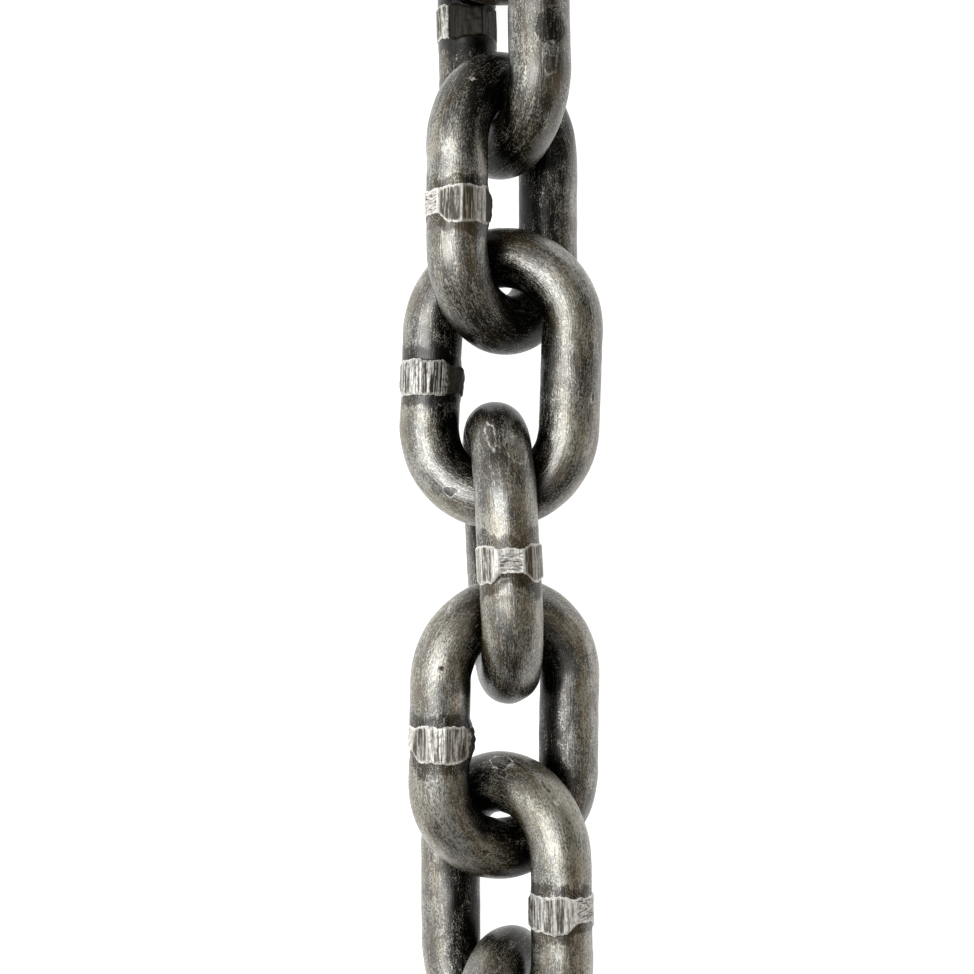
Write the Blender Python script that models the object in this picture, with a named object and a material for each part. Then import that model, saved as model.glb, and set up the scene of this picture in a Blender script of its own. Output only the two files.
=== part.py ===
"""A metre of welded short-link steel chain, lying at full length on a level floor.

Metres, +Z up. The chain runs along Y: link_01 is the end at +Y, and link_09 is the middle one.
Every link is one piece of round bar, bent to an oval and closed by a weld half-way along one
leg. Each link is a quarter turn on from the one before it, less a steady twist, so the links
lie at every lean from flat to on edge.
"""

import math

import bpy
import numpy as np
from mathutils import Matrix, Vector

# Driving dimensions, after the short-link series: a link is three bars long inside
BAR = 0.020
PITCH = 3.0 * BAR
CROWN_RADIUS = 1.20 * BAR
LINK_COUNT = 17
PLAY = 0.0003

# The upset weld stands a little proud of the bar
WELD_LENGTH = 0.60 * BAR
WELD_SHOULDER = 0.04 * BAR
WELD_SWELL = 1.08

# How the chain lies: the lean of the weld leg is counted from +X towards +Z
MIDDLE_LINK = 9
MIDDLE_LEAN = math.radians(85.0)
TWIST = math.radians(22.0)
END_LEANS = {1: math.radians(225.0), LINK_COUNT: math.radians(-55.0)}
# Sideways place of the contacts that lie out of line, by the link above each of them
CONTACT_SWAY = {3: 0.0008, 5: -0.0010, 8: -0.0023, 9: 0.0010, 11: 0.0008, 13: -0.0010, 15: 0.0010}
# Two contacts of one link differ in height by no more than this, as the eyes hold each other
HEIGHT_STEP = 0.0025

# Facets
BAR_SIDES = 14
BEVEL_RESOLUTION = (BAR_SIDES - 4) // 2
CROWN_STEPS = 12

# Finish
STEEL_COLOUR = (0.105, 0.095, 0.082, 1.0)
STEEL_ROUGHNESS = 0.42
STEEL_METALLIC = 0.85

BAR_RADIUS = BAR / 2
LEG_HALF = (PITCH + BAR) / 2 - CROWN_RADIUS
FLAT_RADIUS = BAR_RADIUS * math.cos(math.pi / BAR_SIDES)
FACET_ANGLE = math.tau / BAR_SIDES

# Settling and spacing
HIGHEST_CENTRE = CROWN_RADIUS + BAR_RADIUS * WELD_SWELL
SINK_STEP = 0.0001
CURVE_SAMPLES = 241
LOOSE_SPACING = 0.8 * PITCH
TAUT_SPACING = 1.05 * PITCH
HALVINGS = 24


def clear_scene():
    """Remove whatever the file holds at the start."""
    for item in list(bpy.data.objects):
        bpy.data.objects.remove(item, do_unlink=True)


def lean_of(link):
    """Lean of a link's weld leg, in radians from +X towards +Z."""
    if link in END_LEANS:
        return END_LEANS[link]
    steps = link - MIDDLE_LINK
    quarter = math.pi / 2 if steps % 2 else 0.0
    return MIDDLE_LEAN - steps * TWIST + quarter


def floor_clearance(link, upper, lower):
    """Height of a link's underside over the floor, from the heights of its two contacts."""
    slope = (upper - lower) / PITCH
    rise = math.sin(lean_of(link))
    reach = FLAT_RADIUS + LEG_HALF * abs(slope) + CROWN_RADIUS * math.hypot(rise, slope)
    if rise < 0:
        weld_reach = FLAT_RADIUS * WELD_SWELL + WELD_LENGTH / 2 * abs(slope) - CROWN_RADIUS * rise
        reach = max(reach, weld_reach)
    return (upper + lower) / 2 - reach


def contact_heights():
    """Heights of the contacts, each sunk until one of its two links meets the floor.

    Contact n lies between link n and link n + 1, and the first and last are the free ends.
    """
    heights = [HIGHEST_CENTRE] * (LINK_COUNT + 1)
    sinking = True
    while sinking:
        sinking = False
        for contact in range(LINK_COUNT + 1):
            trial = list(heights)
            trial[contact] -= SINK_STEP
            links = [n for n in (contact, contact + 1) if 1 <= n <= LINK_COUNT]
            clear = all(floor_clearance(n, trial[n - 1], trial[n]) >= 0 for n in links)
            level = all(abs(trial[n - 1] - trial[n]) <= HEIGHT_STEP for n in links)
            if clear and level:
                heights = trial
                sinking = True
    return heights


def link_turn(link, heights):
    """Rotation of a link: local X points to its weld leg and local Y along the chain."""
    step_x = CONTACT_SWAY.get(link - 1, 0.0) - CONTACT_SWAY.get(link, 0.0)
    step_z = heights[link - 1] - heights[link]
    along = Vector((step_x, PITCH, step_z)).normalized()
    lean = lean_of(link)
    across = Vector((math.cos(lean), 0.0, math.sin(lean)))
    across = (across - along * across.dot(along)).normalized()
    return Matrix((across, along, across.cross(along))).transposed()


def oval_points(stations):
    """Points of a link's centre line, evenly spaced from the middle of the weld leg."""
    crown = math.pi * CROWN_RADIUS
    leg = 2 * LEG_HALF
    points = []
    for run in np.linspace(0.0, 2 * (crown + leg), stations, endpoint=False):
        side = 1.0
        run = (run + LEG_HALF) % (2 * (crown + leg))
        if run >= crown + leg:
            side = -1.0
            run -= crown + leg
        if run < leg:
            points.append((side * CROWN_RADIUS, side * (run - LEG_HALF), 0.0))
        else:
            turn = (run - leg) / CROWN_RADIUS
            points.append((side * CROWN_RADIUS * math.cos(turn),
                           side * (LEG_HALF + CROWN_RADIUS * math.sin(turn)), 0.0))
    return np.array(points)


def nearest_centre_lines(first, second):
    """Shortest distance between two sets of points."""
    apart = first[:, None, :] - second[None, :, :]
    return math.sqrt((apart ** 2).sum(axis=2).min())


def link_places():
    """World placement of every link, each hung in the one before it with the stated play."""
    heights = contact_heights()
    oval = oval_points(CURVE_SAMPLES)
    places = []
    centre_y = 0.0
    before = None
    for link in range(1, LINK_COUNT + 1):
        turn = link_turn(link, heights)
        centre_x = (CONTACT_SWAY.get(link - 1, 0.0) + CONTACT_SWAY.get(link, 0.0)) / 2
        centre_z = (heights[link - 1] + heights[link]) / 2
        line = oval @ np.array(turn).T + np.array((centre_x, 0.0, centre_z))
        if before is not None:
            loose, taut = LOOSE_SPACING, TAUT_SPACING
            for _ in range(HALVINGS):
                middle = (loose + taut) / 2
                shifted = line - np.array((0.0, middle, 0.0))
                if nearest_centre_lines(before, shifted) >= BAR + PLAY:
                    loose = middle
                else:
                    taut = middle
            centre_y -= loose
        before = line
        places.append(Matrix.Translation((centre_x, centre_y, centre_z)) @ turn.to_4x4())
    return places


def link_outline():
    """Points of the bent bar as (x, y, thickness), once round from below the weld."""
    half_weld = WELD_LENGTH / 2
    points = [(CROWN_RADIUS, -half_weld - WELD_SHOULDER, 1.0)]
    points.append((CROWN_RADIUS, -half_weld, WELD_SWELL))
    points.append((CROWN_RADIUS, half_weld, WELD_SWELL))
    points.append((CROWN_RADIUS, half_weld + WELD_SHOULDER, 1.0))
    for side in (1.0, -1.0):
        for step in range(CROWN_STEPS + 1):
            turn = math.pi * step / CROWN_STEPS
            points.append((side * CROWN_RADIUS * math.cos(turn),
                           side * (LEG_HALF + CROWN_RADIUS * math.sin(turn)), 1.0))
    return points


def bar_curve(name, facet_turn):
    """A closed curve of the bent bar, with its facets turned about the bar's own line."""
    curve = bpy.data.curves.new(name, "CURVE")
    curve.dimensions = "3D"
    curve.twist_mode = "Z_UP"
    curve.bevel_depth = BAR_RADIUS
    curve.bevel_resolution = BEVEL_RESOLUTION
    points = link_outline()
    spline = curve.splines.new("POLY")
    spline.points.add(len(points) - 1)
    for point, (x, y, thickness) in zip(spline.points, points):
        point.co = (x, y, 0.0, 1.0)
        point.radius = thickness
        point.tilt = facet_turn
    spline.use_cyclic_u = True
    spline.use_smooth = True
    return curve


def steel_material():
    """Dark steel with its rolling scale still on."""
    material = bpy.data.materials.new("dark_steel")
    material.use_nodes = True
    shader = material.node_tree.nodes["Principled BSDF"]
    shader.inputs["Base Color"].default_value = STEEL_COLOUR
    shader.inputs["Roughness"].default_value = STEEL_ROUGHNESS
    shader.inputs["Metallic"].default_value = STEEL_METALLIC
    return material


def facet_turn_of(link):
    """Turn of the bar's facets that lays one of them flat under the link's lower leg."""
    lean = lean_of(link)
    weld_leg_is_lower = math.sin(lean) < 0
    return lean % FACET_ANGLE if weld_leg_is_lower else -lean % FACET_ANGLE


def add_link(link, place, collection):
    """One link as a curve object."""
    name = f"link_{link:02d}"
    curve = bar_curve(name, facet_turn_of(link))
    curve.materials.append(steel_material())
    item = bpy.data.objects.new(name, curve)
    item.matrix_world = place
    collection.objects.link(item)
    return item


def box_of(items):
    """Lowest and highest corners of the evaluated objects."""
    bpy.context.view_layer.update()
    graph = bpy.context.evaluated_depsgraph_get()
    low = np.full(3, np.inf)
    high = np.full(3, -np.inf)
    for item in items:
        ready = item.evaluated_get(graph)
        mesh = ready.to_mesh()
        corners = np.empty(len(mesh.vertices) * 3, dtype=np.float32)
        mesh.vertices.foreach_get("co", corners)
        world = np.array(item.matrix_world)
        corners = corners.reshape(-1, 3) @ world[:3, :3].T + world[:3, 3]
        low = np.minimum(low, corners.min(axis=0))
        high = np.maximum(high, corners.max(axis=0))
        ready.to_mesh_clear()
    return low, high


def stand_on_origin(items):
    """Move the chain so the origin is under the middle of its box, on the floor."""
    low, high = box_of(items)
    shift = Vector((-(low[0] + high[0]) / 2, -(low[1] + high[1]) / 2, -low[2]))
    for item in items:
        item.location += shift


def main():
    clear_scene()
    collection = bpy.data.collections.new("short_link_chain")
    bpy.context.scene.collection.children.link(collection)
    items = []
    for link, place in enumerate(link_places(), start=1):
        items.append(add_link(link, place, collection))
    stand_on_origin(items)


main()
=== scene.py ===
"""Looks of a metre of welded short-link steel chain, lying at full length on a pale floor.

Every link is made again over its solid as one bent bar: a swept surface with the trimmed flash of
its weld half-way along one leg, waves, dents and old marks, and a rolling scale that is worn
through to bare steel. Metres, +Z up.
"""

import math

import bpy
import numpy as np
from bpy.props import FloatProperty, FloatVectorProperty, IntProperty, PointerProperty
from bpy.types import Operator, Panel, PropertyGroup
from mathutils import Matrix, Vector


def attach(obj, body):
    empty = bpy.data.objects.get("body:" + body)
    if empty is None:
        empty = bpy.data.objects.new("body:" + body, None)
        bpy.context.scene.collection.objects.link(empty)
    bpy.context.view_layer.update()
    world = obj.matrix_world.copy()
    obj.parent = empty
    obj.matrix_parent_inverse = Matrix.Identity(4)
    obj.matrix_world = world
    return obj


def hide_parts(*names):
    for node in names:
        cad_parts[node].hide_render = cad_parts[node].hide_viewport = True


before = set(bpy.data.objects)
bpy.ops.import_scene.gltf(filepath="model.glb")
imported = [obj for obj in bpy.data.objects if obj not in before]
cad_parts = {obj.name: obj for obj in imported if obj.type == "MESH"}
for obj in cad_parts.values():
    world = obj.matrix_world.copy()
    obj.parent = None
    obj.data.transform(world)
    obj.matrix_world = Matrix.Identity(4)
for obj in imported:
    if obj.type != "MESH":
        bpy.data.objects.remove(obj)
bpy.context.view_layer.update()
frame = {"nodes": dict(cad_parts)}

bl_info = {
    "name": "Welded Short-Link Chain",
    "version": (1, 0, 0),
    "blender": (4, 5, 0),
    "location": "3D View > Sidebar > Chain",
    "description": "Worn welded steel chain links over the packed solids, and the studio round them",
    "category": "Add Mesh",
}

MM = 0.001

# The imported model
BODY = "root"
LINK_NAMES = sorted(name for name in frame["nodes"] if name.startswith("link_"))
SOLID_BAR_RADIUS = 0.010
# Rings of the solid this near to a link's middle belong to the weld
WELD_RINGS_WITHIN = 0.010

# Rings of the surface are close together this far to each side of the weld
FINE_HALF = 0.0125
# Length of the long and short waves in the bar, height of the short ones against the long, and
# the shares of its length between which a wave varies
LONG_WAVE = 15 * MM
SHORT_WAVE = 6 * MM
SHORT_WAVE_SHARE = 0.6
WAVE_SPREAD = (0.7, 1.6)
# Bending stretches the outer side of a crown and thins it by this much
CROWN_THINNING = 0.18 * MM
# Smallest and largest dent, in millimetres, the shares of the dent depth before it is squared,
# and how much longer than wide a dent is
DENT_SIZES = (0.8, 2.6)
DENT_DEPTHS = (0.25, 1.0)
DENT_LENGTHS = (1.0, 2.2)
FIRST_SEED = 1000

# How far each weld in view lies from the middle of its leg, along the chain, the range for the
# others in millimetres, and how many degrees a patch is turned from the outer side of its link
WELD_SHIFTS = {"link_06": 5.5 * MM, "link_07": -3.2 * MM, "link_08": -1.0 * MM,
               "link_09": -2.8 * MM, "link_10": -2.8 * MM, "link_11": 0.0}
OTHER_WELD_SHIFTS = (-2.5, 1.5)
WELD_TURNS = {"link_07": 17.0, "link_10": 17.0}

# Angles round a weld, in degrees from the middle of its patch: where the patch ends, how soft that
# border is, how wide the slope beside it is, where the inner side begins and how soft that is
PATCH_HALF_ANGLE = 23.0
PATCH_BLUR = 4.0
PATCH_FLANK = 24.0
INNER_ANGLE = 138.0
INNER_BLUR = 20.0
# The collar's end towards +Y and its other end: how much shorter it is at the patch and at the
# nub, and the height and number of its ripples
COLLAR_ENDS = {1: (1.0 * MM, 1.4 * MM, 0.30 * MM, 9), -1: (2.9 * MM, 1.0 * MM, 0.35 * MM, 8)}
FINE_RIPPLE = 0.10 * MM
FINE_RIPPLE_COUNT = 30
# Height and spacing of the tool's ridges, and height of the raised frame round each flat
RIDGE_HEIGHT = 0.05 * MM
RIDGE_SPACING = 2.2 * MM
FRAME_HEIGHT = 0.13 * MM
# The nub's length as a share of the collar's, and its lumps
NUB_REACH = 1.25
NUB_UNEVENNESS = 0.16
NUB_LUMP = 2.6 * MM
# Height of the nub on these welds as a share of the usual one, where more of it was trimmed off
FLUSH_NUBS = {"link_06": 0.4, "link_07": 0.55, "link_08": 0.5, "link_11": 0.2}
# The burnt neck's distance below the collar, and its width
NECK_OFFSET = 1.5 * MM
NECK_WIDTH = 1.3 * MM

# Flats that the trimming tool left round the welds in view: where each begins and ends, in degrees
# from the middle of the patch, the share of bright lines in it and how brown it is
SEEN_FLATS = {
    "link_06": ((-98, -70, 0.65, 0.4), (-112, -98, 0.95, 0.1), (-181, -112, 0.02, 0.0),
                (100, 181, 0.02, 0.0)),
    "link_07": ((-66, -24, 0.42, 0.6), (-92, -66, 0.15, 1.0), (-112, -92, 0.45, 0.4)),
    "link_08": ((-71, -48, 0.70, 0.2), (-91, -71, 0.85, 0.2), (-107, -91, 0.70, 0.1),
                (-124, -107, 0.55, 0.2)),
    "link_09": ((24, 33, 0.90, 0.2), (33, 62, 0.50, 0.5), (62, 100, 0.60, 0.5),
                (-44, -23, 0.20, 1.0), (-90, -44, 0.50, 0.6)),
    "link_10": ((-61, -24, 0.38, 0.6), (-93, -61, 0.95, 0.1), (-138, -93, 0.50, 1.0)),
    "link_11": ((24, 41, 0.95, 0.1), (41, 62, 0.50, 0.3), (62, 86, 0.45, 0.5),
                (86, 140, 0.70, 0.2)),
}
PATCH_TONES = (0.75, 0.2)
# Widths in degrees, and range of brightness, of the flats that aren't in view
OTHER_FLAT_WIDTHS = (18.0, 36.0)
OTHER_FLAT_TONES = (0.1, 0.9)

# How much more painted shade than usual there is on the crown towards +Y, on the one towards -Y,
# on the leg with the weld and on the plain leg; below nought it is painted light
PAINTED_SHADE = {"link_06": (0.1, 0.62, 0.34, 0.60), "link_07": (0.70, 0.60, 0.0, 0.0),
         "link_08": (0.10, 0.0, 0.38, 0.42), "link_09": (0.60, 0.40, 0.0, 0.0),
         "link_10": (-0.18, 0.05, 0.10, -0.15), "link_11": (-0.12, 0.02, 0.02, -0.05),
         "link_12": (0.12, 0.0, 0.0, 0.0)}
SHADE_SPREAD = 0.25
# Balls of the bar's size at this spacing stand for the bars that shut a place in
BALL_SPACING = 6.0 * MM
# Painted shade deepens downward from this height over this depth, and past this angle on the inner
# side
SHADE_TOP = 40.0 * MM
SHADE_DEPTH = 32.0 * MM
SHADE_ANGLE = 122.0
SHADE_ANGLE_BLUR = 38.0
# Weight of each cause of painted shade, what is taken off their sum, and the least and most in all
SHADE_SHUT_IN = 1.1
SHADE_LOW = 0.25
SHADE_INNER = 0.35
SHADE_OFFSET = 0.25
SHADE_LIMITS = (-0.6, 1.0)
# A crown's own painted shade begins here on the leg, as a share of half the leg
CROWN_START = 0.6

# Old marks in view, in millimetres and degrees: link, distance along the bar and around it from
# the outer side, half length, half width, turn, how pale the rim is, and how pale the middle is,
# or how dark below nought
MARKS = (
    (6, 113.6, -1.4, 5.9, 5.0, 12.0, 0.10, -0.62),
    (6, 122.6, -1.8, 4.6, 2.6, -8.0, 0.50, 0.10),
    (7, 33.6, -6.2, 0.5, 2.8, 8.0, 0.0, 0.70),
    (7, 38.6, -3.0, 0.4, 2.2, -14.0, 0.0, 0.45),
    (8, 113.7, -4.6, 1.5, 0.9, 20.0, 0.50, -0.60),
    (8, 173.2, -13.9, 2.6, 1.3, 32.0, 0.55, -0.55),
    (9, 33.6, 3.8, 4.3, 1.5, 4.0, 0.85, -0.35),
    (9, 29.4, -4.6, 3.9, 4.1, 0.0, 0.60, 0.0),
    (10, 37.3, -1.6, 3.6, 0.45, 32.0, 0.0, 1.0),
    (10, 35.8, -3.5, 2.7, 0.38, 38.0, 0.0, 1.0),
    (10, 21.0, -10.5, 0.9, 0.8, 0.0, 0.30, -0.95),
    (10, 11.4, -17.2, 2.2, 3.2, 20.0, 0.30, 0.45),
    (10, 172.2, -14.3, 1.1, 0.9, 0.0, 0.30, -0.90),
    (10, 175.4, -10.0, 4.2, 0.35, 10.0, 0.0, 0.50),
    (11, 50.0, 6.9, 3.3, 2.7, 10.0, 1.00, -0.45),
    (11, 35.9, 5.0, 4.8, 0.55, -8.0, 0.30, -0.80),
    (11, 31.1, 4.5, 0.9, 1.5, 24.0, 0.20, 0.90),
    (12, 39.4, -3.9, 2.4, 0.30, 54.0, 0.0, 0.70),
    (12, 36.4, -4.6, 2.6, 0.28, -30.0, 0.0, 0.60),
)
# How soft a mark's edge is, how far and how finely it is shaken, and half its depth
MARK_BLUR = 0.35 * MM
MARK_SHAKE = 1.7 * MM
MARK_SHAKE_SIZE = 2.6 * MM
MARK_DEPTH = 10 * MM
# Size of the patches that break up the pale parts, how pale they leave them, and the widest blur
MARK_PATCH_SIZE = 1.5 * MM
MARK_PATCHES = (0.42, 0.60, 0.12, 1.0)
RIM_BLUR = 1.3
WIDEST_BLUR = 0.8
# Places on two links are this far apart, so that no mark shows twice and no grain repeats
SKIN_STEP = 100 * MM
GRAIN_STEP = 0.37

# The bar beside a weld, in millimetres: how uneven and how soft the collar's end is, how far the
# bar is burnt, how that fades, and the width of its outline
EDGE_UNEVENNESS = 0.9
EDGE_BLUR = 0.25
BURNT_REACH = (2.8, 6.5)
BURNT_FADE = (-2.4, 1.2)
OUTLINE_WIDTH = 0.6
# Size of the noise of the collar's end and of the burnt reach, and the part of the latter's that
# counts
EDGE_NOISE_SIZE = 0.8 * MM
BURN_NOISE_SIZE = 5.0 * MM
BURN_NOISE_RANGE = (0.32, 0.68)

# Spots of worn scale: how far each kind is drawn out along the bar (less is longer), its size in
# grains, its detail and roughness, the part of the noise that counts, and its weight
WORN_SPOTS = {
    "grain": (0.5, 1.0, 3.0, 0.65, (0.34, 0.64), 1.45),
    "blotches": (0.5, 5.0, 4.0, 0.65, (0.36, 0.64), 0.50),
    "clouds": (0.6, 22.0, 2.0, 0.55, (0.38, 0.62), 0.60),
    "streaks": (0.07, 1.3, 2.0, 0.55, (0.38, 0.62), 0.45),
}
WORN_OFFSET = -1.20
# How much more, or less, the scale is worn in painted shade, where it is burnt, in the dark parts
# of marks and on the burnt part's outline
WORN_IN_SHADE = -0.70
WORN_WHERE_BURNT = -0.64
WORN_IN_MARKS = -0.55
WORN_ON_OUTLINE = 0.30
WORN_RANGE = (-0.15, 1.35)

# Size of the browning noise in grains, and the parts of it over which scale turns brown and steel
# turns tan
BROWNING_SIZE = 20
BROWN_SCALE = (0.40, 0.58)
TAN_STEEL = (0.46, 0.66)
# How much burning and the dark parts of marks blacken the scale, besides the painted shade
SOOT_WHERE_BURNT = 0.45
SOOT_IN_MARKS = 0.5

# Brightness of a trimmed flat, which grows with its share of bright lines, here called its cut:
# more of the line noise counts, the lines get brighter, and so does the whole flat
MORE_LINES_BY_CUT = 0.16
LINES_ALONG = (0.50, 0.70)
LINES_ACROSS = (0.30, 0.58)
LINE_BRIGHTNESS = (0.40, 0.75)
CUT_BRIGHTNESS = 0.20
# Mottling of this size dims flats and frames to these shares. A frame is this bright without any
# cut, and in full from some cut on
MOTTLE_SIZE = 0.7 * MM
MOTTLE_RANGE = (0.34, 0.56)
MOTTLED_FLAT = (0.50, 1.0)
MOTTLED_FRAME = (0.55, 1.00)
DULL_FRAME = 0.30
FULL_FRAME_CUT = 0.4
# Inner border of the frame in millimetres from a flat's edge, how its corners are rounded, how
# uneven it is, and how much narrower it is at the sides
FRAME_RANGE = (0.55, 1.75)
FRAME_ROUNDING = 1.2
FRAME_UNEVENNESS = 0.8
CORNER_OFFSET = 0.50
# How much is added to the brightness in painted shade and on the nub
BRIGHTNESS_IN_SHADE = -0.38
BRIGHTNESS_ON_NUB = -0.50

# How the steel takes the light
BARE_METALLIC = 0.65
CUT_METALLIC = 0.55
SCALE_ROUGHNESS = 0.26
BARE_ROUGHNESS = 0.36
CUT_ROUGHNESS = 0.55
CLEAN_SPECULAR = 0.5
DULL_SPECULAR = 0.10
DULL_WHERE_BURNT = 0.6
STEEL_IOR = 2.2
GRAIN_RELIEF = 0.6
MARK_RELIEF = -1.5
BUMP_STRENGTH = 0.8
BUMP_HEIGHT = 0.12 * MM

# The room: its colours, where the key light comes from, as a direction of length one, and where
# each colour passes into the next, as parts of a direction
LEFT_WALL = (0.90, 0.90, 0.89, 1.0)
RIGHT_WALL = (0.03, 0.026, 0.022, 1.0)
KEY_GLOW = (1.28, 1.28, 1.26, 1.0)
FAR_END = (0.10, 0.097, 0.090, 1.0)
NEAR_END = (0.04, 0.037, 0.032, 1.0)
ROOM_FLOOR = (0.85, 0.85, 0.85, 1.0)
KEY_WAY = (-0.42, 0.06, 0.9056)
LEFT_TO_RIGHT = (-0.25, 0.78)
TOWARDS_KEY = (0.80, 0.99)
TOWARDS_FAR_END = (0.50, 1.0)
FLOOR_TO_WALLS = (0.06, 0.22)
FROM_NEAR_END = (-0.90, -0.25)
NEAR_END_SHARE = 0.92

# The stage
FLOOR_RADIUS = 60.0
FLOOR_SIDES = 96
FLOOR_ROUGHNESS = 0.9
CHAIN_MIDDLE = (0.0, 0.0, 0.03)
KEY_LAMP = {"place": (-0.86, 0.10, 1.50), "size": (0.75, 1.4), "colour": (1.0, 1.0, 1.0)}
FILL_LAMP = {"place": (1.6, -0.3, 0.9), "size": (0.8, 1.2), "colour": (1.0, 0.86, 0.70)}
SENSOR_WIDTH_MM = 36.0
CAMERA_X = -0.0051
CAMERA_Y = 0.0216
CHAIN_HEIGHT = 0.034
NEAREST_SEEN = 0.01
FARTHEST_SEEN = 200.0


class ChainBarShape(PropertyGroup):
    """Size of the bar and the fineness of its surface."""

    diameter: FloatProperty(
        name="Bar diameter", description="Diameter of the bar that the links are bent from",
        default=19.9 * MM, min=0.001, unit="LENGTH", subtype="DISTANCE", precision=4)
    ring_corners: IntProperty(
        name="Corners round the bar", description="Corners in each ring of the surface",
        default=120, min=16, max=160)
    fine_step: FloatProperty(
        name="Step at the weld", description="Distance between rings at the weld",
        default=0.34 * MM, min=0.0001, unit="LENGTH", subtype="DISTANCE", precision=5)
    coarse_step: FloatProperty(
        name="Step along the bar", description="Distance between rings away from the weld",
        default=1.28 * MM, min=0.0002, unit="LENGTH", subtype="DISTANCE", precision=5)
    waviness: FloatProperty(
        name="Waviness", description="Height of the slow waves that rolling and bending leave",
        default=0.07 * MM, min=0.0, unit="LENGTH", subtype="DISTANCE", precision=5)
    dent_count: IntProperty(
        name="Dents", description="Small dents on each link", default=16, min=0, max=200)
    dent_depth: FloatProperty(
        name="Dent depth", description="Depth of the deepest dent",
        default=0.28 * MM, min=0.0, unit="LENGTH", subtype="DISTANCE", precision=5)


class ChainWeldTrim(PropertyGroup):
    """The collar of flash that the trimming tool leaves round a weld."""

    half_length: FloatProperty(
        name="Half length", description="Half the length of the collar along the bar",
        default=6.0 * MM, min=0.001, unit="LENGTH", subtype="DISTANCE", precision=4)
    swell: FloatProperty(
        name="Swell", description="Radius at the corners between the flats, as a share of the bar's",
        default=1.045, min=1.0, max=1.2, subtype="FACTOR")
    swell_spread: FloatProperty(
        name="Swell spread", description="How much the collars differ in height",
        default=0.012, min=0.0, max=0.1, subtype="FACTOR")
    edge: FloatProperty(
        name="Edge", description="Width of the step from the bar up to the collar",
        default=0.75 * MM, min=0.0001, unit="LENGTH", subtype="DISTANCE", precision=5)
    frame: FloatProperty(
        name="Frame", description="Width of the bright raised edge round each flat",
        default=0.70 * MM, min=0.0001, unit="LENGTH", subtype="DISTANCE", precision=5)
    nub: FloatProperty(
        name="Nub", description="Height of the untrimmed flash on the inner side",
        default=1.3 * MM, min=0.0, unit="LENGTH", subtype="DISTANCE", precision=5)
    neck: FloatProperty(
        name="Neck", description="Depth of the burnt neck under the outer flat",
        default=0.40 * MM, min=0.0, unit="LENGTH", subtype="DISTANCE", precision=5)


class ChainSteelFinish(PropertyGroup):
    """Colours and grain of the steel."""

    scale_colour: FloatVectorProperty(
        name="Scale", description="Dark rolling scale", subtype="COLOR", size=4,
        min=0.0, max=1.0, default=(0.0185, 0.0162, 0.0115, 1.0))
    brown_colour: FloatVectorProperty(
        name="Brown scale", description="Scale with a brown cast of rust and oil",
        subtype="COLOR", size=4, min=0.0, max=1.0, default=(0.070, 0.051, 0.025, 1.0))
    bare_colour: FloatVectorProperty(
        name="Bare steel", description="Steel where the scale is worn through",
        subtype="COLOR", size=4, min=0.0, max=1.0, default=(0.395, 0.389, 0.352, 1.0))
    tan_colour: FloatVectorProperty(
        name="Tanned steel", description="Worn steel with a thin film of brown rust and oil",
        subtype="COLOR", size=4, min=0.0, max=1.0, default=(0.365, 0.345, 0.285, 1.0))
    cut_colour: FloatVectorProperty(
        name="Cut steel", description="Bright steel on the trimmed flash",
        subtype="COLOR", size=4, min=0.0, max=1.0, default=(0.80, 0.79, 0.755, 1.0))
    burnt_colour: FloatVectorProperty(
        name="Burnt steel", description="Dark grooves of the trimmed flash",
        subtype="COLOR", size=4, min=0.0, max=1.0, default=(0.032, 0.028, 0.021, 1.0))
    rust_colour: FloatVectorProperty(
        name="Rust", description="Brown stain in some flats of the trimmed flash",
        subtype="COLOR", size=4, min=0.0, max=1.0, default=(0.062, 0.047, 0.026, 1.0))
    pale_colour: FloatVectorProperty(
        name="Pale marks", description="Fresh scratches and the edges of old dents",
        subtype="COLOR", size=4, min=0.0, max=1.0, default=(0.66, 0.64, 0.59, 1.0))
    # Painted shade: this near-black colour also darkens the scale where shut in, low and inward,
    # besides soot
    soot_and_shade_colour: FloatVectorProperty(
        name="Grime", description="Black grease in the shut-in places",
        subtype="COLOR", size=4, min=0.0, max=1.0, default=(0.0050, 0.0044, 0.0028, 1.0))
    grain: FloatProperty(
        name="Grain", description="Size of the bright grains in the scale",
        default=0.36 * MM, min=0.0001, unit="LENGTH", subtype="DISTANCE", precision=5)
    cut_pitch: FloatProperty(
        name="Cut pitch", description="Distance between the lines of the trimming tool",
        default=0.52 * MM, min=0.0001, unit="LENGTH", subtype="DISTANCE", precision=5)


class ChainStudio(PropertyGroup):
    """Floor, lamps and camera."""

    floor_colour: FloatVectorProperty(
        name="Floor", description="Colour of the floor", subtype="COLOR", size=4,
        min=0.0, max=1.0, default=(0.50, 0.50, 0.50, 1.0))
    floor_glow: FloatProperty(
        name="Floor glow", description="Light that the floor gives of itself, as a light table",
        default=0.62, min=0.0)
    key_power: FloatProperty(
        name="Key power", description="Power of the large lamp up on the left",
        default=10.5, min=0.0, unit="POWER")
    fill_power: FloatProperty(
        name="Fill power", description="Power of the warm lamp on the right",
        default=1.5, min=0.0, unit="POWER")
    camera_height: FloatProperty(
        name="Camera height", description="Height of the camera over the chain's middle line",
        default=0.70, min=0.1, unit="LENGTH", subtype="DISTANCE")
    focal_length: FloatProperty(
        name="Focal length", description="Focal length on a 36 mm sensor, in millimetres",
        default=78.8, min=10.0, unit="CAMERA")


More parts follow.
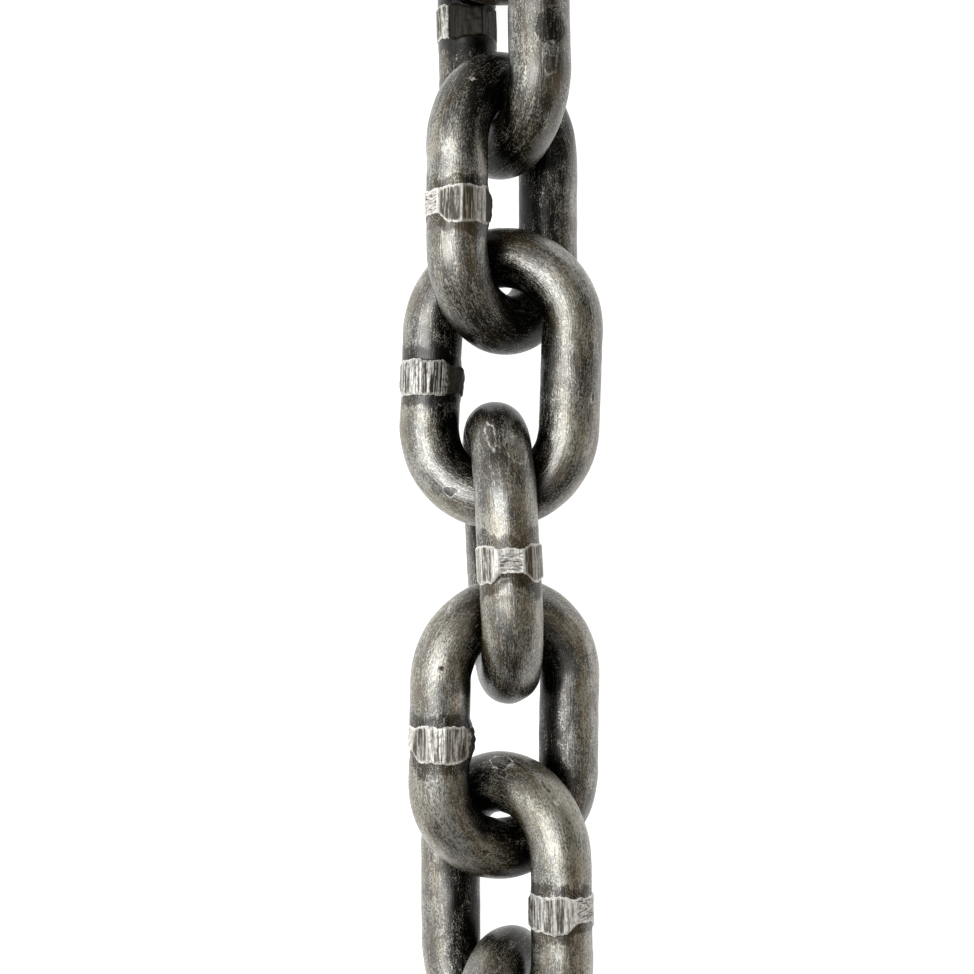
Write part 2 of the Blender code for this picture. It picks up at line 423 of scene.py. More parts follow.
def link_axes(node):
    """Centre and axes of a link, read from its solid, with the radius of its crowns."""
    corners = np.array([tuple(vertex.co) for vertex in node.data.vertices])
    corners = np.unique(np.round(corners, 6), axis=0)
    offsets = corners - corners.mean(axis=0)
    along = np.linalg.eigh(np.cov(offsets.T))[1][:, 2]
    along = along * np.sign(along[1])
    at_weld = np.abs(offsets @ along) < WELD_RINGS_WITHIN
    centre = corners[~at_weld].mean(axis=0)
    arm = corners[at_weld].mean(axis=0) - centre
    arm = arm - along * (arm @ along)
    crown_radius = np.linalg.norm(arm)
    across = arm / crown_radius
    reach = np.abs((corners - centre) @ along).max()
    half_leg = reach - crown_radius - SOLID_BAR_RADIUS
    length = 2 * math.pi * crown_radius + 4 * half_leg
    return {"centre": centre, "across": across, "along": along, "normal": np.cross(across, along),
            "crown_radius": crown_radius, "half_leg": half_leg, "length": length}


def centre_line(runs, axes):
    """Points of a link's centre line in its own plane, and the outward direction at each."""
    crown_radius = axes["crown_radius"]
    half_leg = axes["half_leg"]
    half = math.pi * crown_radius + 2 * half_leg
    shifted = (runs + half_leg) % (2 * half)
    side = np.where(shifted < half, 1.0, -1.0)
    run = shifted % half
    turn = np.clip((run - 2 * half_leg) / crown_radius, 0.0, math.pi)
    straight = np.minimum(run, 2 * half_leg) - half_leg
    outward = np.stack((side * np.cos(turn), side * np.sin(turn)), axis=1)
    points = crown_radius * outward
    points[:, 1] += side * straight
    return points, outward


def in_world(flat, axes):
    """Directions in the world for directions in a link's own plane."""
    return flat[:, :1] * axes["across"] + flat[:, 1:] * axes["along"]


def station_runs(length, bar):
    """Distances of the rings round a link, from just before its weld."""
    fine = np.arange(-FINE_HALF, FINE_HALF, bar.fine_step)
    coarse_count = round((length - 2 * FINE_HALF) / bar.coarse_step)
    coarse = np.linspace(FINE_HALF, length - FINE_HALF, coarse_count, endpoint=False)
    return np.concatenate((fine, coarse))


def smooth_step(value):
    """Nought below 0, one above 1, and a smooth rise between them."""
    value = np.clip(value, 0.0, 1.0)
    return value * value * (3 - 2 * value)


def bell(value, width):
    """A smooth bump of height one round nought."""
    return np.exp(-(value / width) ** 2)


def slow_waves(points, wavelength, rng, count=14):
    """Smooth uneven waves of about unit height at the given points."""
    total = np.zeros(points.shape[:-1])
    for _ in range(count):
        direction = rng.normal(size=3)
        direction /= np.linalg.norm(direction)
        number = math.tau / (wavelength * rng.uniform(*WAVE_SPREAD))
        total += np.sin(points @ direction * number + rng.uniform(0, math.tau))
    return total * math.sqrt(2 / count)


def round_waves(theta, rng, highest):
    """An uneven closed wave of about unit height round the bar."""
    total = np.zeros_like(theta)
    for order in range(1, highest + 1):
        total += np.sin(order * theta + rng.uniform(0, math.tau)) * rng.uniform(0.5, 1.0)
    return total / math.sqrt(highest / 2)


def wrapped(angle):
    """An angle brought to within half a turn of nought."""
    return (angle + math.pi) % math.tau - math.pi


def flats_of(name, rng):
    """Flats round a weld as (first, last, brightness, brownness), in degrees from its patch."""
    flats = [(-PATCH_HALF_ANGLE, PATCH_HALF_ANGLE) + PATCH_TONES]
    flats.extend(SEEN_FLATS.get(name, ()))
    first = -180.0
    while first < 180.0:
        last = first + rng.uniform(*OTHER_FLAT_WIDTHS)
        flats.append((first, last, rng.uniform(*OTHER_FLAT_TONES), rng.uniform(0.0, 1.0) ** 2))
        first = last
    return flats


def flat_at(angle, flats):
    """Number of the first flat in the list that an angle in degrees falls on."""
    return next(number for number, flat in enumerate(flats) if flat[0] <= angle < flat[1])


def trimmed_flats(theta, name, bar_radius, weld, rng):
    """Radius, brightness and brownness round a trimmed weld, and how near its corners are."""
    flats = flats_of(name, rng)
    chosen = np.array([flat_at(angle, flats) for angle in np.degrees(theta)])
    corners = theta[chosen != np.roll(chosen, 1)]
    ahead = ((corners[None, :] - theta[:, None]) % math.tau).min(axis=1)
    behind = ((theta[:, None] - corners[None, :]) % math.tau).min(axis=1)
    swell = weld.swell + rng.uniform(-weld.swell_spread, weld.swell_spread)
    radius = bar_radius * swell * np.cos((ahead + behind) / 2) / np.cos((ahead - behind) / 2)
    tones = np.array(flats)[chosen]
    return radius, tones[:, 2], tones[:, 3], np.minimum(ahead, behind) * bar_radius


def bar_skin(run, angle, points, axes, flat_line, bar, rng):
    """Radius of the bent bar away from its weld, with slow waves and dents."""
    bar_radius = bar.diameter / 2
    radius = bar_radius + bar.waviness * slow_waves(points * (1, 1, 0.5), LONG_WAVE, rng)
    short_waves = SHORT_WAVE_SHARE * slow_waves(points * (1, 1, 0.7), SHORT_WAVE, rng)
    radius -= bar.waviness * (SHORT_WAVE_SHARE + short_waves)

    past_leg = (np.abs(flat_line[:, 1]) - axes["half_leg"]) / axes["crown_radius"]
    on_crown = np.clip(past_leg, 0.0, 1.0)
    radius -= CROWN_THINNING * on_crown[:, None] * np.maximum(np.cos(angle), 0.0)

    for _ in range(bar.dent_count):
        place = rng.uniform(FINE_HALF, axes["length"] - FINE_HALF)
        way = rng.uniform(-math.pi, math.pi)
        size = rng.uniform(*DENT_SIZES) * MM
        depth = bar.dent_depth * rng.uniform(*DENT_DEPTHS) ** 2
        along = (run - place) / rng.uniform(*DENT_LENGTHS)
        far = np.hypot(along, wrapped(angle - way) * bar_radius)
        radius -= depth * bell(far, size)
    return radius


def collar_end(way, weld, angle, slope, inner, rng):
    """Place of one end of the collar along the bar, all round it: way is 1 towards +Y, or -1."""
    patch_cutback, nub_cutback, ripple, ripple_count = COLLAR_ENDS[way]
    end = way * (weld.half_length - patch_cutback * slope - nub_cutback * inner)
    end = end + ripple * round_waves(angle, rng, ripple_count)
    return end + FINE_RIPPLE * round_waves(angle, rng, FINE_RIPPLE_COUNT)


def link_relief(name, runs, theta, axes, flat_line, bar, weld, shift, rng):
    """Radius of the bar at every corner, and the masks that the finish reads."""
    bar_radius = bar.diameter / 2
    run, angle = np.meshgrid(runs, theta, indexing="ij")
    points = np.stack((bar_radius * np.cos(angle), bar_radius * np.sin(angle), run), axis=-1)
    radius = bar_skin(run, angle, points, axes, flat_line, bar, rng)

    # Ends of the collar: short at the patch and at the nub, and long on the flats between
    length = axes["length"]
    collar_run = (run - shift + length / 2) % length - length / 2
    turn = math.radians(WELD_TURNS.get(name, 0.0))
    round_way = np.degrees(np.abs(wrapped(angle - turn)))
    patch = smooth_step((PATCH_HALF_ANGLE - round_way) / PATCH_BLUR + 0.5)
    slope = 1 - smooth_step((round_way - PATCH_HALF_ANGLE + PATCH_BLUR) / PATCH_FLANK)
    inner = smooth_step((round_way - INNER_ANGLE) / INNER_BLUR + 0.5)
    upper = collar_end(1, weld, angle, slope, inner, rng)
    lower = collar_end(-1, weld, angle, slope, inner, rng)
    end_gap = np.minimum(upper - collar_run, collar_run - lower)
    inside = smooth_step(end_gap / weld.edge)

    # Flats with a raised frame round each, and the rough nub
    flats, cut, brown, corner_gap = trimmed_flats(wrapped(theta - turn), name, bar_radius, weld, rng)
    framed = 1 - smooth_step(np.minimum(np.maximum(end_gap, 0.0), corner_gap) / weld.frame)
    ridges = RIDGE_HEIGHT * slow_waves(points * (1, 1, 0.2), RIDGE_SPACING, rng)
    radius = radius + inside * (flats + ridges + FRAME_HEIGHT * framed - radius)
    tapered = np.clip(1 - (collar_run / (NUB_REACH * weld.half_length)) ** 2, 0.0, 1.0)
    nub = weld.nub * FLUSH_NUBS.get(name, 1.0)
    radius += inner * tapered * nub * (1 + NUB_UNEVENNESS * slow_waves(points, NUB_LUMP, rng))

    # The burnt neck under the patch
    neck = bell(collar_run - lower + NECK_OFFSET, NECK_WIDTH)
    radius -= weld.neck * slope * neck * (1 - inside)

    masks = {
        "end_gap": end_gap / MM,
        "corner_gap": np.broadcast_to(corner_gap / MM, inside.shape),
        "patch": patch,
        "nub": inner,
        "cut": np.broadcast_to(cut, inside.shape),
        "brown": np.broadcast_to(brown, inside.shape),
    }
    return radius, points, masks


def link_line(axes, spacing):
    """Points of a link's centre line in the world, evenly spaced."""
    flat_line, _ = centre_line(np.arange(0.0, axes["length"], spacing), axes)
    return axes["centre"] + in_world(flat_line, axes)


def shut_in(places, outward, lines, bar_radius):
    """How far the bars round it shut each place in, from 0 in the open up to about 1."""
    total = np.zeros(places.shape[:-1])
    for ball in np.concatenate(lines):
        way = ball - places
        distance = np.linalg.norm(way, axis=-1)
        facing = (way * outward).sum(axis=-1) / distance
        total += np.maximum(facing, 0.0) * (bar_radius / distance) ** 2
    return total * BALL_SPACING / bar_radius


def painted_shade_over(name, places, normals, theta, lines, axes, flat_line, rng):
    """How much painted shade darkens every corner; below nought it is painted light instead."""
    # Painted shade: darker where the bars shut a place in, low down and on the inner side
    low = smooth_step((SHADE_TOP - places[..., 2]) / SHADE_DEPTH)
    past_angle = np.abs(theta) - math.radians(SHADE_ANGLE)
    inner_side = smooth_step(past_angle / math.radians(SHADE_ANGLE_BLUR))
    shut = shut_in(places, normals, lines, SOLID_BAR_RADIUS)
    usual = SHADE_SHUT_IN * shut + SHADE_LOW * low + SHADE_INNER * inner_side - SHADE_OFFSET

    # Painted shade on listed crowns and legs, or painted light where below nought
    upper, lower, weld_leg, plain_leg = PAINTED_SHADE.get(name, rng.uniform(-SHADE_SPREAD, SHADE_SPREAD, 4))
    past_leg = flat_line[:, 1] / axes["half_leg"]
    on_upper = smooth_step(past_leg - CROWN_START)
    on_lower = smooth_step(-past_leg - CROWN_START)
    on_weld_leg = smooth_step(flat_line[:, 0] / axes["crown_radius"] + 0.5)
    legs = weld_leg * on_weld_leg + plain_leg * (1 - on_weld_leg)
    more = upper * on_upper + lower * on_lower + legs * (1 - on_upper - on_lower)
    return np.clip(usual + more[:, None], *SHADE_LIMITS)


def ring_faces(stations, corners):
    """Corner numbers of the faces between closed rings, in the order that faces outward."""
    ring = np.arange(stations)[:, None] * corners
    next_ring = (np.arange(stations)[:, None] + 1) % stations * corners
    column = np.arange(corners)[None, :]
    next_column = (column + 1) % corners
    faces = (ring + column, next_ring + column, next_ring + next_column, ring + next_column)
    return np.stack(faces, axis=-1).reshape(-1, 4)


def add_point_values(mesh, name, values):
    """Store one number or one vector for each corner of the surface."""
    kind = "FLOAT" if values.shape[-1:] != (3,) else "FLOAT_VECTOR"
    layer = mesh.attributes.new(name, kind, "POINT")
    layer.data.foreach_set("value" if kind == "FLOAT" else "vector", values.astype(np.float32).ravel())


def add_places(mesh, points, runs, theta, length, bar_radius, shift, number):
    """Store where on the bar, on its unrolled skin and round its weld each corner is."""
    unrolled = points.copy()
    unrolled[..., 2] = runs[:, None] % length
    add_point_values(mesh, "bar_place", (unrolled + number * GRAIN_STEP).reshape(-1, 3))
    around = np.broadcast_to(theta * bar_radius, points.shape[:-1])
    beside = np.full(points.shape[:-1], number * SKIN_STEP)
    skin = np.stack((unrolled[..., 2], around, beside), axis=-1)
    add_point_values(mesh, "skin_place", skin.reshape(-1, 3))
    from_weld = points - np.array((0.0, 0.0, shift))
    add_point_values(mesh, "weld_place", (from_weld + number * GRAIN_STEP).reshape(-1, 3))


def swept_link(name, lines, bar, weld, number):
    """One link as a closed swept surface over its solid, shut in by the given centre lines."""
    rng = np.random.default_rng(FIRST_SEED + number)
    axes = link_axes(frame["nodes"][name])
    runs = station_runs(axes["length"], bar)
    flat_line, flat_outward = centre_line(runs, axes)
    theta = np.linspace(-math.pi, math.pi, bar.ring_corners, endpoint=False)
    shift = WELD_SHIFTS.get(name, rng.uniform(*OTHER_WELD_SHIFTS) * MM)
    radius, points, masks = link_relief(name, runs, theta, axes, flat_line, bar, weld, shift, rng)

    outward = in_world(flat_outward, axes)[:, None, :]
    normals = np.cos(theta)[:, None] * outward + np.sin(theta)[:, None] * axes["normal"]
    line = axes["centre"] + in_world(flat_line, axes)
    places = line[:, None, :] + radius[..., None] * normals
    places[..., 2] = np.maximum(places[..., 2], 0.0)

    mesh = bpy.data.meshes.new(name)
    mesh.from_pydata(places.reshape(-1, 3).tolist(), [], ring_faces(*radius.shape).tolist())
    mesh.shade_smooth()
    # Painted shade over the surface, stored for the finish
    masks["painted_shade"] = painted_shade_over(name, places, normals, theta, lines, axes, flat_line, rng)
    for mask, values in masks.items():
        add_point_values(mesh, mask, values.ravel()[:, None])
    add_places(mesh, points, runs, theta, axes["length"], bar.diameter / 2, shift, number)
    return mesh


def add_node(tree, kind, **settings):
    """A shader node with its settings."""
    node = tree.nodes.new(kind)
    for name, value in settings.items():
        setattr(node, name, value)
    return node


def feed(tree, socket, source):
    """Set a socket to a value, or join it to another socket."""
    if isinstance(source, bpy.types.NodeSocket):
        tree.links.new(source, socket)
    else:
        socket.default_value = source


def read_mask(tree, name):
    """The number stored on the mesh under a name."""
    return add_node(tree, "ShaderNodeAttribute", attribute_name=name).outputs["Fac"]


def stretched(tree, name, factors):
    """The place on the bar stored under a name, stretched by a factor along each axis."""
    place = add_node(tree, "ShaderNodeAttribute", attribute_name=name)
    scaled = add_node(tree, "ShaderNodeVectorMath", operation="MULTIPLY")
    feed(tree, scaled.inputs[0], place.outputs["Vector"])
    scaled.inputs[1].default_value = factors
    return scaled.outputs[0]


def noise_at(tree, place, size, detail, roughness=0.55):
    """Noise with features of a real size, from 0 to 1."""
    node = add_node(tree, "ShaderNodeTexNoise")
    feed(tree, node.inputs["Vector"], place)
    node.inputs["Scale"].default_value = 1 / size
    node.inputs["Detail"].default_value = detail
    node.inputs["Roughness"].default_value = roughness
    return node.outputs["Fac"]


def calculate(tree, operation, first, second=0.0, third=None, clamp=False):
    """One step of arithmetic."""
    node = add_node(tree, "ShaderNodeMath", operation=operation, use_clamp=clamp)
    feed(tree, node.inputs[0], first)
    feed(tree, node.inputs[1], second)
    if third is not None:
        feed(tree, node.inputs[2], third)
    return node.outputs[0]


def add_share(tree, total, part, share, clamp=False):
    """A total with a share of another number added to it."""
    return calculate(tree, "MULTIPLY_ADD", part, share, total, clamp)


def between(tree, value, low, high, to_low=0.0, to_high=1.0):
    """A value stretched so that low and high become two other values, and no further."""
    node = add_node(tree, "ShaderNodeMapRange", interpolation_type="SMOOTHSTEP")
    feed(tree, node.inputs["Value"], value)
    node.inputs["From Min"].default_value = low
    node.inputs["From Max"].default_value = high
    node.inputs["To Min"].default_value = to_low
    node.inputs["To Max"].default_value = to_high
    return node.outputs["Result"]


def blend_colours(tree, amount, first, second):
    """A mix of two colours."""
    node = add_node(tree, "ShaderNodeMix", data_type="RGBA")
    feed(tree, node.inputs[0], amount)
    feed(tree, node.inputs[6], first)
    feed(tree, node.inputs[7], second)
    return node.outputs[2]


def mixed(tree, amount, first, second):
    """A number between two others."""
    node = add_node(tree, "ShaderNodeMix", data_type="FLOAT")
    feed(tree, node.inputs[0], amount)
    feed(tree, node.inputs[2], first)
    feed(tree, node.inputs[3], second)
    return node.outputs[0]


def shaken_skin(tree):
    """The place on the unrolled skin, shaken a little so that the marks get uneven edges."""
    unsteady = add_node(tree, "ShaderNodeTexNoise")
    feed(tree, unsteady.inputs["Vector"], stretched(tree, "skin_place", (1, 1, 0)))
    unsteady.inputs["Scale"].default_value = 1 / MARK_SHAKE_SIZE
    shaken = add_node(tree, "ShaderNodeVectorMath", operation="MULTIPLY_ADD")
    feed(tree, shaken.inputs[0], unsteady.outputs["Color"])
    shaken.inputs[1].default_value = (2 * MARK_SHAKE, 2 * MARK_SHAKE, 0.0)
    feed(tree, shaken.inputs[2], stretched(tree, "skin_place", (1, 1, 1)))
    return shaken.outputs[0]


def old_marks(tree):
    """Pale and dark parts of the marks in view, as two numbers."""
    patchy = noise_at(tree, stretched(tree, "skin_place", (1, 1, 0)), MARK_PATCH_SIZE, 3.0, 0.7)
    patchy = between(tree, patchy, *MARK_PATCHES)
    skin = shaken_skin(tree)
    pale = 0.0
    dark = 0.0
    for number, along, around, half_length, half_width, turn, rim, middle in MARKS:
        place = add_node(tree, "ShaderNodeMapping", vector_type="TEXTURE")
        feed(tree, place.inputs["Vector"], skin)
        centre = (along * MM + MARK_SHAKE, around * MM + MARK_SHAKE, number * SKIN_STEP)
        place.inputs["Location"].default_value = centre
        place.inputs["Rotation"].default_value = (0.0, 0.0, math.radians(turn))
        place.inputs["Scale"].default_value = (half_length * MM, half_width * MM, MARK_DEPTH)
        far = add_node(tree, "ShaderNodeVectorMath", operation="LENGTH")
        feed(tree, far.inputs[0], place.outputs[0])
        far = far.outputs["Value"]
        blur = MARK_BLUR / (min(half_length, half_width) * MM)
        if rim:
            ring = calculate(tree, "ABSOLUTE", calculate(tree, "SUBTRACT", far, 1.0))
            edge = between(tree, ring, 0.0, RIM_BLUR * blur, rim, 0.0)
            pale = calculate(tree, "ADD", pale, edge)
        fill = between(tree, far, 1.0 - min(blur, WIDEST_BLUR), 1.0, abs(middle), 0.0)
        if middle > 0:
            pale = calculate(tree, "ADD", pale, fill)
        elif middle < 0:
            dark = calculate(tree, "ADD", dark, fill)
    return calculate(tree, "MULTIPLY", pale, patchy, clamp=True), dark


def collar_and_burn(tree):
    """Distance inward from the collar's end in mm, and masks of the collar, burn and its outline."""
    rough_edge = noise_at(tree, stretched(tree, "weld_place", (1, 1, 1)), EDGE_NOISE_SIZE, 2.0, 0.6)
    end_gap = add_share(tree, read_mask(tree, "end_gap"), rough_edge, EDGE_UNEVENNESS)
    end_gap = calculate(tree, "SUBTRACT", end_gap, EDGE_UNEVENNESS / 2)
    collar = between(tree, end_gap, 0.0, EDGE_BLUR)
    reach = noise_at(tree, stretched(tree, "bar_place", (1, 1, 1)), BURN_NOISE_SIZE, 3.0)
    reach = between(tree, reach, *BURN_NOISE_RANGE, *BURNT_REACH)
    past_reach = calculate(tree, "SUBTRACT", calculate(tree, "ABSOLUTE", end_gap), reach)
    burnt = between(tree, past_reach, *BURNT_FADE, 1.0, 0.0)
    outline = calculate(tree, "ABSOLUTE", past_reach)
    outline = between(tree, outline, 0.0, OUTLINE_WIDTH, 1.0, 0.0)
    return end_gap, collar, burnt, outline


def worn_through(tree, finish, painted_shade, burnt, dark, outline):
    """How far the scale is worn through, and the noise of each kind of worn spot."""
    spots = {}
    worn = WORN_OFFSET
    for kind, (drawn_out, size, detail, roughness, counted, weight) in WORN_SPOTS.items():
        place = stretched(tree, "bar_place", (1, 1, drawn_out))
        spots[kind] = noise_at(tree, place, size * finish.grain, detail, roughness)
        worn = add_share(tree, worn, between(tree, spots[kind], *counted), weight)
    # Painted shade keeps the bare steel from showing
    worn = add_share(tree, worn, painted_shade, WORN_IN_SHADE)
    worn = add_share(tree, worn, burnt, WORN_WHERE_BURNT)
    worn = add_share(tree, worn, dark, WORN_IN_MARKS)
    worn = add_share(tree, worn, outline, WORN_ON_OUTLINE)
    return between(tree, worn, *WORN_RANGE), spots


def scale_and_steel(tree, finish, worn, painted_shade, burnt, dark, pale):
    """Bar colour: brown scale blackened by soot and painted shade, tanned steel where worn through,
    pale marks.
    """
    place = stretched(tree, "bar_place", (1, 1, 0.4))
    browning = noise_at(tree, place, BROWNING_SIZE * finish.grain, 6.0, 0.7)
    scale = blend_colours(tree, between(tree, browning, *BROWN_SCALE), tuple(finish.scale_colour),
                          tuple(finish.brown_colour))
    # Soot where burnt and in dark marks, and painted shade, blacken the scale
    soot_and_shade = add_share(tree, painted_shade, burnt, SOOT_WHERE_BURNT)
    soot_and_shade = add_share(tree, soot_and_shade, dark, SOOT_IN_MARKS, clamp=True)
    scale = blend_colours(tree, soot_and_shade, scale, tuple(finish.soot_and_shade_colour))
    steel = blend_colours(tree, between(tree, browning, *TAN_STEEL), tuple(finish.bare_colour),
                          tuple(finish.tan_colour))
    bar = blend_colours(tree, worn, scale, steel)
    return blend_colours(tree, pale, bar, tuple(finish.pale_colour))


def trimming_lines(tree, finish, cut):
    """Lines of the trimming tool: along the bar on the flats, and across it on the outer patch."""
    along = noise_at(tree, stretched(tree, "weld_place", (1, 1, 0.06)), finish.cut_pitch, 2.0)
    along = add_share(tree, along, cut, MORE_LINES_BY_CUT)
    across = noise_at(tree, stretched(tree, "weld_place", (0.2, 0.2, 1)), finish.cut_pitch, 2.0)
    return mixed(tree, read_mask(tree, "patch"), between(tree, along, *LINES_ALONG),
                 between(tree, across, *LINES_ACROSS))


def trimmed_brightness(tree, cut, lines, end_gap, painted_shade):
    """How bright the trimmed flash is: lined flats, each in a bright frame, a dull nub, less in
    painted shade.
    """
    mottle = noise_at(tree, stretched(tree, "weld_place", (1, 1, 0.6)), MOTTLE_SIZE, 3.0, 0.6)
    flat = calculate(tree, "MULTIPLY", lines, between(tree, cut, 0.0, 1.0, *LINE_BRIGHTNESS))
    flat = add_share(tree, flat, cut, CUT_BRIGHTNESS)
    flat = calculate(tree, "MULTIPLY", flat, between(tree, mottle, *MOTTLE_RANGE, *MOTTLED_FLAT))
    rim = calculate(tree, "MULTIPLY", between(tree, mottle, *MOTTLE_RANGE, *MOTTLED_FRAME),
                    between(tree, cut, 0.0, FULL_FRAME_CUT, DULL_FRAME, 1.0))

    side_gap = calculate(tree, "ADD", read_mask(tree, "corner_gap"), CORNER_OFFSET)
    border_gap = calculate(tree, "SMOOTH_MIN", side_gap, end_gap, FRAME_ROUNDING)
    border_gap = add_share(tree, border_gap, mottle, FRAME_UNEVENNESS)
    framed = between(tree, border_gap, *FRAME_RANGE, 1.0, 0.0)

    bright = mixed(tree, framed, flat, rim)
    # Painted shade dims the trimmed flash
    bright = add_share(tree, bright, calculate(tree, "MAXIMUM", painted_shade, 0.0), BRIGHTNESS_IN_SHADE)
    return add_share(tree, bright, read_mask(tree, "nub"), BRIGHTNESS_ON_NUB, clamp=True)


def steel_bump(tree, collar, spots, dark, lines):
    """Fine relief: grains and streaks of the scale on the bar, and tool lines on the collar."""
    relief = add_share(tree, spots["streaks"], spots["grain"], GRAIN_RELIEF)
    relief = add_share(tree, relief, dark, MARK_RELIEF)
    bump = add_node(tree, "ShaderNodeBump")
    bump.inputs["Strength"].default_value = BUMP_STRENGTH
    bump.inputs["Distance"].default_value = BUMP_HEIGHT
    feed(tree, bump.inputs["Height"], mixed(tree, collar, relief, lines))
    return bump.outputs["Normal"]


def worn_scale_steel(finish):
    """Dark rolling scale worn through to bare steel, with bright trimmed flash at the weld."""
    material = bpy.data.materials.new("worn_scale_steel")
    material.use_nodes = True
    tree = material.node_tree
    painted_shade = read_mask(tree, "painted_shade")
    cut = read_mask(tree, "cut")
    pale, dark = old_marks(tree)
    end_gap, collar, burnt, outline = collar_and_burn(tree)
    worn, spots = worn_through(tree, finish, painted_shade, burnt, dark, outline)
    bar = scale_and_steel(tree, finish, worn, painted_shade, burnt, dark, pale)

    lines = trimming_lines(tree, finish, cut)
    bright = trimmed_brightness(tree, cut, lines, end_gap, painted_shade)
    grooves = blend_colours(tree, read_mask(tree, "brown"), tuple(finish.burnt_colour),
                            tuple(finish.rust_colour))
    flash = blend_colours(tree, bright, grooves, tuple(finish.cut_colour))

    bareness = mixed(tree, collar, worn, bright)
    metallic = mixed(tree, collar, BARE_METALLIC, CUT_METALLIC)
    roughness = between(tree, bareness, 0.0, 1.0, SCALE_ROUGHNESS, BARE_ROUGHNESS)
    # Painted shade takes the sheen off too, besides soot, dark marks and the collar
    dull = calculate(tree, "MAXIMUM", painted_shade, add_share(tree, dark, burnt, DULL_WHERE_BURNT))
    dull = calculate(tree, "MAXIMUM", dull, collar)

    surface = tree.nodes["Principled BSDF"].inputs
    feed(tree, surface["Base Color"], blend_colours(tree, collar, bar, flash))
    feed(tree, surface["Metallic"], calculate(tree, "MULTIPLY", bareness, metallic))
    feed(tree, surface["Roughness"], mixed(tree, collar, roughness, CUT_ROUGHNESS))
    feed(tree, surface["Specular IOR Level"],
         between(tree, dull, 0.0, 1.0, CLEAN_SPECULAR, DULL_SPECULAR))
    feed(tree, surface["Normal"], steel_bump(tree, collar, spots, dark, lines))
    surface["IOR"].default_value = STEEL_IOR
    return material


def plain_floor(studio):
    """A matt pale floor that glows a little, as a light table does."""
    material = bpy.data.materials.new("pale_floor")
    material.use_nodes = True
    surface = material.node_tree.nodes["Principled BSDF"].inputs
    surface["Base Color"].default_value = tuple(studio.floor_colour)
    surface["Roughness"].default_value = FLOOR_ROUGHNESS
    surface["Specular IOR Level"].default_value = 0.0
    surface["Emission Color"].default_value = (1.0, 1.0, 1.0, 1.0)
    surface["Emission Strength"].default_value = studio.floor_glow
    return material


def studio_air():
    """A room pale at the floor, soft grey on the left, and dark on the right and at both ends."""
    world = bpy.data.worlds.new("studio_air")
    world.use_nodes = True
    tree = world.node_tree
    way = add_node(tree, "ShaderNodeTexCoord").outputs["Generated"]
    parts = add_node(tree, "ShaderNodeSeparateXYZ")
    feed(tree, parts.inputs[0], way)
    toward_key = add_node(tree, "ShaderNodeVectorMath", operation="DOT_PRODUCT")
    feed(tree, toward_key.inputs[0], way)
    toward_key.inputs[1].default_value = KEY_WAY

    rightward = between(tree, parts.outputs["X"], *LEFT_TO_RIGHT)
    colour = blend_colours(tree, rightward, LEFT_WALL, RIGHT_WALL)
    near_key = between(tree, toward_key.outputs["Value"], *TOWARDS_KEY)
    colour = blend_colours(tree, near_key, colour, KEY_GLOW)
    far_end = between(tree, parts.outputs["Y"], *TOWARDS_FAR_END)
    colour = blend_colours(tree, far_end, colour, FAR_END)
    height = between(tree, parts.outputs["Z"], *FLOOR_TO_WALLS)
    colour = blend_colours(tree, height, ROOM_FLOOR, colour)
    near_end = between(tree, parts.outputs["Y"], *FROM_NEAR_END, NEAR_END_SHARE, 0.0)
    colour = blend_colours(tree, near_end, colour, NEAR_END)
    feed(tree, tree.nodes["Background"].inputs["Color"], colour)
    return world


def add_lamp(name, lamp, power):
    """A large soft rectangular lamp that points at the middle of the chain."""
    light = bpy.data.lights.new(name, "AREA")
    light.shape = "RECTANGLE"
    light.size, light.size_y = lamp["size"]
    light.energy = power
    light.color = lamp["colour"]
    item = bpy.data.objects.new(name, light)
    item.location = lamp["place"]
    way = Vector(CHAIN_MIDDLE) - Vector(lamp["place"])
    item.rotation_euler = way.to_track_quat("-Z", "Y").to_euler()
    bpy.context.scene.collection.objects.link(item)


def add_camera(scene, studio):
    """The camera straight over the chain."""
    camera = bpy.data.cameras.new("camera")
    camera.sensor_width = SENSOR_WIDTH_MM
    camera.lens = studio.focal_length
    camera.clip_start = NEAREST_SEEN
    camera.clip_end = FARTHEST_SEEN
    item = bpy.data.objects.new("camera", camera)
    item.location = (CAMERA_X, CAMERA_Y, CHAIN_HEIGHT + studio.camera_height)
    scene.collection.objects.link(item)
    scene.camera = item


class CHAIN_OT_steel_finish(Operator):
    """Mix the worn scale and the bright trimmed steel of the links"""

    bl_idname = "chain.steel_finish"
    bl_label = "Mix the steel finish"

    def execute(self, context):
        worn_scale_steel(context.scene.chain_finish)
        return {"FINISHED"}


class CHAIN_OT_links(Operator):
    """Make every link again over its solid, with its trimmed weld, waves and dents"""

    bl_idname = "chain.links"
    bl_label = "Make the links"

    def execute(self, context):
        bar = context.scene.chain_bar
        weld = context.scene.chain_weld
        steel = bpy.data.materials.get("worn_scale_steel")
        if steel is None:
            raise RuntimeError("Mix the steel finish before making the links")
        lines = [link_line(link_axes(frame["nodes"][name]), BALL_SPACING) for name in LINK_NAMES]
        for number, name in enumerate(LINK_NAMES, start=1):
            near = lines[max(number - 2, 0):number + 1]
            mesh = swept_link(name, near, bar, weld, number)
            mesh.materials.append(steel)
            link = bpy.data.objects.new(f"steel_{name}", mesh)
            context.scene.collection.objects.link(link)
            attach(link, BODY)
            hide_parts(name)
        return {"FINISHED"}


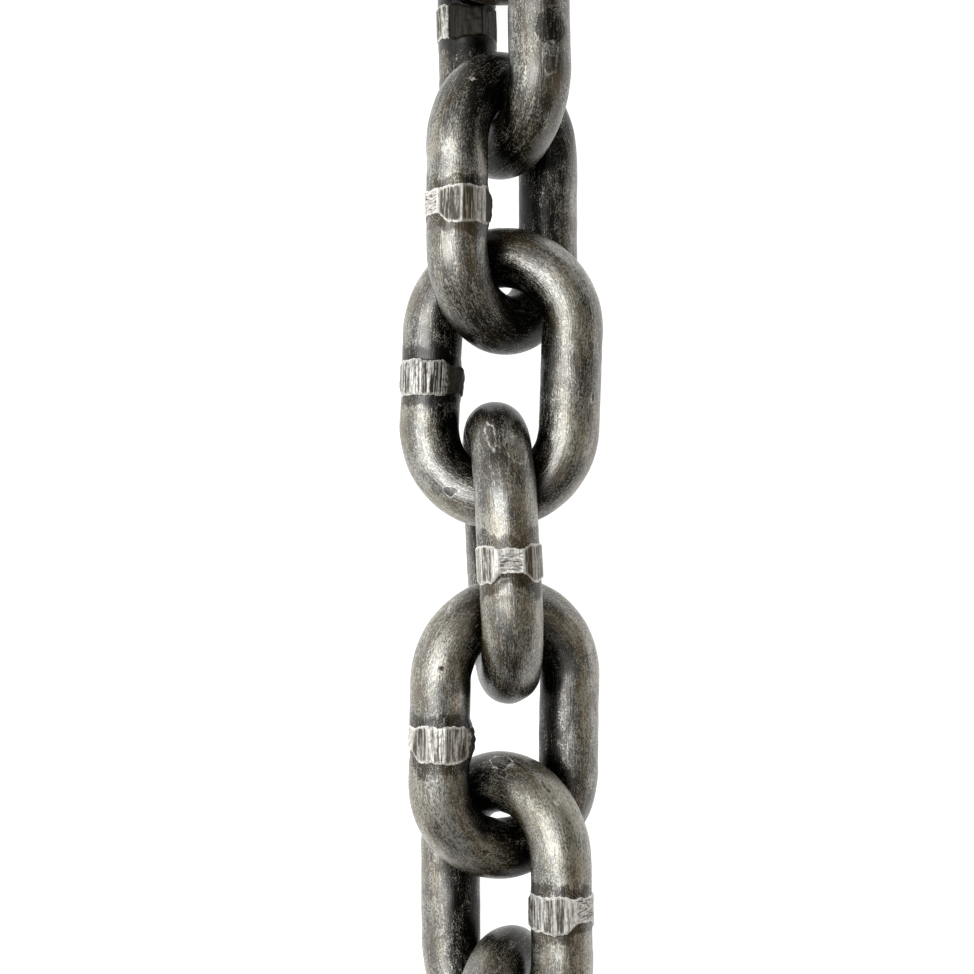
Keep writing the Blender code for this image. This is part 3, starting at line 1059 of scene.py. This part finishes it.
class CHAIN_OT_stage(Operator):
    """Lay the floor and set up the lamps, the room and the camera"""

    bl_idname = "chain.stage"
    bl_label = "Set the stage"

    def execute(self, context):
        studio = context.scene.chain_studio
        bpy.ops.mesh.primitive_circle_add(vertices=FLOOR_SIDES, radius=FLOOR_RADIUS,
                                          fill_type="NGON")
        floor = context.object
        floor.name = "studio_floor"
        floor.data.materials.append(plain_floor(studio))
        context.scene.world = studio_air()
        add_lamp("key_lamp", KEY_LAMP, studio.key_power)
        add_lamp("fill_lamp", FILL_LAMP, studio.fill_power)
        add_camera(context.scene, studio)
        context.scene.view_settings.view_transform = "Standard"
        context.scene.view_settings.look = "High Contrast"
        return {"FINISHED"}


class CHAIN_PT_panel(Panel):
    """Sizes, colours and steps of the chain"""

    bl_idname = "CHAIN_PT_panel"
    bl_label = "Welded Chain"
    bl_space_type = "VIEW_3D"
    bl_region_type = "UI"
    bl_category = "Chain"

    def draw(self, context):
        scene = context.scene
        steps = ((scene.chain_finish, CHAIN_OT_steel_finish),
                 (scene.chain_bar, None),
                 (scene.chain_weld, CHAIN_OT_links),
                 (scene.chain_studio, CHAIN_OT_stage))
        for group, operator in steps:
            box = self.layout.box()
            for name in group.__annotations__:
                box.prop(group, name)
            if operator is not None:
                box.operator(operator.bl_idname)


CLASSES = (ChainBarShape, ChainWeldTrim, ChainSteelFinish, ChainStudio,
           CHAIN_OT_steel_finish, CHAIN_OT_links, CHAIN_OT_stage, CHAIN_PT_panel)
SETTINGS = {"chain_bar": ChainBarShape, "chain_weld": ChainWeldTrim,
            "chain_finish": ChainSteelFinish, "chain_studio": ChainStudio}


def register():
    for item in CLASSES:
        bpy.utils.register_class(item)
    for name, group in SETTINGS.items():
        setattr(bpy.types.Scene, name, PointerProperty(type=group))


def unregister():
    for name in SETTINGS:
        delattr(bpy.types.Scene, name)
    for item in reversed(CLASSES):
        bpy.utils.unregister_class(item)


def main():
    register()
    bpy.ops.chain.steel_finish()
    bpy.ops.chain.links()
    bpy.ops.chain.stage()


if __name__ == "__main__":
    main()
